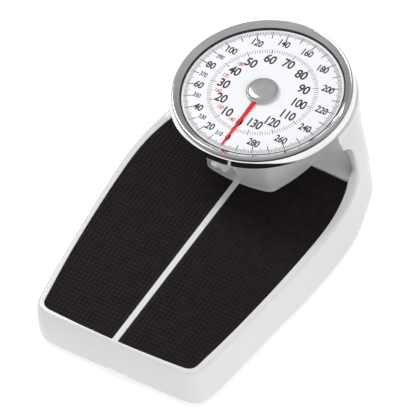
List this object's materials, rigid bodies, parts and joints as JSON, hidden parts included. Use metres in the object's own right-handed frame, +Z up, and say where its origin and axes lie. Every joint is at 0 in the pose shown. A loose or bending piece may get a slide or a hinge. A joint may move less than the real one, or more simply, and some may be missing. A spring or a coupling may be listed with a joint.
{
  "type": "mechanical dial platform scale",
  "caption": "Low standing scale with black ribbed mats on a white platform and a raised round dial head whose red pointer turns under a clear lens.",
  "frame": {"origin": "on the floor under the middle of the cover, within 2 mm", "axes": "+Z up, +Y from the front edge of the platform towards the dial head, +X to the right of a person standing on the mats"},
  "size_m": [0.2636, 0.421, 0.1368],
  "materials": {
    "cover_white": "glossy white moulded shell",
    "mat_black": "fine embossed square grid",
    "chrome": "polished",
    "steel": "zinc plated",
    "dark_steel": "dark painted pressed steel",
    "rubber": "moulded rubber",
    "dial_face": "printed white dial with dark and red figures",
    "lens_clear": "clear domed lens",
    "pointer_red": "bright red paint",
    "brass": "machined",
    "knob_black": "knurled"
  },
  "bodies": {
    "base": {"base_pan": "dark_steel", "front_foot_right": "rubber", "front_foot_left": "rubber", "rear_foot_right": "rubber", "rear_foot_left": "rubber", "front_fulcrum_bracket_right": "dark_steel", "front_fulcrum_bracket_left": "dark_steel", "rear_fulcrum_bracket_right": "dark_steel", "rear_fulcrum_bracket_left": "dark_steel", "spring_frame": "dark_steel", "spring_anchor": "steel", "main_spring": "steel", "front_rod_bearing": "dark_steel", "rear_rod_bearing": "dark_steel"},
    "platform": {"platform_cover": "cover_white", "mat_left": "mat_black", "mat_right": "mat_black", "front_load_post_right": "steel", "front_load_post_left": "steel", "rear_load_post_right": "steel", "rear_load_post_left": "steel", "dial_bezel": "chrome", "bezel_gasket": "rubber", "dial_lens": "lens_clear", "dial_plate": "dial_face", "movement_plate": "steel", "spindle_bracket": "steel", "upper_spindle_bush": "brass", "lower_spindle_bush": "brass", "rack_guide": "steel", "crank_bracket": "steel"},
    "pointer": {"pointer_needle": "pointer_red", "pointer_hub": "chrome", "pointer_spindle": "steel", "pinion": "brass"},
    "rack_bar": {"rack": "brass"},
    "crank": {"bell_crank": "steel", "bell_crank_pin": "steel"},
    "carrier": {"spring_carrier": "dark_steel", "lift_rod": "steel"},
    "zero_adjuster": {"zero_knob": "knob_black", "zero_rod": "steel"},
    "zero_slider": {"zero_nut": "knob_black"},
    "long_lever_right_body": {"long_lever_right": "dark_steel", "long_lever_fulcrum_pin_right": "steel", "long_lever_load_pin_right": "steel"},
    "short_lever_right_body": {"short_lever_right": "dark_steel", "short_lever_fulcrum_pin_right": "steel", "short_lever_load_pin_right": "steel"},
    "long_lever_left_body": {"long_lever_left": "dark_steel", "long_lever_fulcrum_pin_left": "steel", "long_lever_load_pin_left": "steel"},
    "short_lever_left_body": {"short_lever_left": "dark_steel", "short_lever_fulcrum_pin_left": "steel", "short_lever_load_pin_left": "steel"}
  },
  "joints": [
    {"name": "platform_travel", "type": "slide", "parent": "base", "child": "platform", "axis": [0, 0, -1], "range_m": [0, 0.003], "stiffness_N_per_m": 120000, "springref_m": -0.0006, "deforming": ["main_spring"]},
    {"name": "pointer_turn", "type": "hinge", "parent": "platform", "child": "pointer", "pos_m": [0, 0.1103, 0.129], "axis": [0, 0, -1], "range_deg": [0, 485]},
    {"name": "rack_slide", "type": "slide", "parent": "platform", "child": "rack_bar", "axis": [0, -1, 0], "range_m": [0, 0.02598]},
    {"name": "crank_turn", "type": "hinge", "parent": "platform", "child": "crank", "pos_m": [0.0112, 0.095, 0.066], "axis": [1, 0, 0], "range_deg": [0, 32.51]},
    {"name": "carrier_drop", "type": "slide", "parent": "base", "child": "carrier", "axis": [0, 0, -1], "range_m": [0, 0.01324]},
    {"name": "long_lever_right_tilt", "type": "hinge", "parent": "base", "child": "long_lever_right_body", "pos_m": [0.084, -0.17, 0.028], "axis": [-1, 0, 0], "range_deg": [0, 3.21]},
    {"name": "short_lever_right_tilt", "type": "hinge", "parent": "base", "child": "short_lever_right_body", "pos_m": [0.092, 0.111, 0.028], "axis": [1, 0, 0], "range_deg": [0, 3.21]},
    {"name": "long_lever_left_tilt", "type": "hinge", "parent": "base", "child": "long_lever_left_body", "pos_m": [-0.084, -0.17, 0.028], "axis": [-1, 0, 0], "range_deg": [0, 3.21]},
    {"name": "short_lever_left_tilt", "type": "hinge", "parent": "base", "child": "short_lever_left_body", "pos_m": [-0.092, 0.111, 0.028], "axis": [1, 0, 0], "range_deg": [0, 3.21]},
    {"name": "zero_knob_turn", "type": "hinge", "parent": "base", "child": "zero_adjuster", "pos_m": [0, -0.198, 0.015], "axis": [0, 1, 0], "range_deg": [-720, 720]},
    {"name": "zero_nut_slide", "type": "slide", "parent": "base", "child": "zero_slider", "axis": [0, 1, 0], "range_m": [-0.0021, 0.0021]}
  ],
  "couplings": [
    {"joint": "pointer_turn", "follows": "platform_travel", "rad_per_m": 2792.5},
    {"joint": "rack_slide", "follows": "platform_travel", "ratio": 8.5731},
    {"joint": "crank_turn", "follows": "platform_travel", "rad_per_m": 187.24},
    {"joint": "carrier_drop", "follows": "platform_travel", "ratio": 4.3704},
    {"joint": "long_lever_right_tilt", "follows": "platform_travel", "rad_per_m": 18.519},
    {"joint": "short_lever_right_tilt", "follows": "platform_travel", "rad_per_m": 18.519},
    {"joint": "long_lever_left_tilt", "follows": "platform_travel", "rad_per_m": 18.519},
    {"joint": "short_lever_left_tilt", "follows": "platform_travel", "rad_per_m": 18.519},
    {"joint": "zero_nut_slide", "follows": "zero_knob_turn", "m_per_rad": 0.00015915}
  ]
}
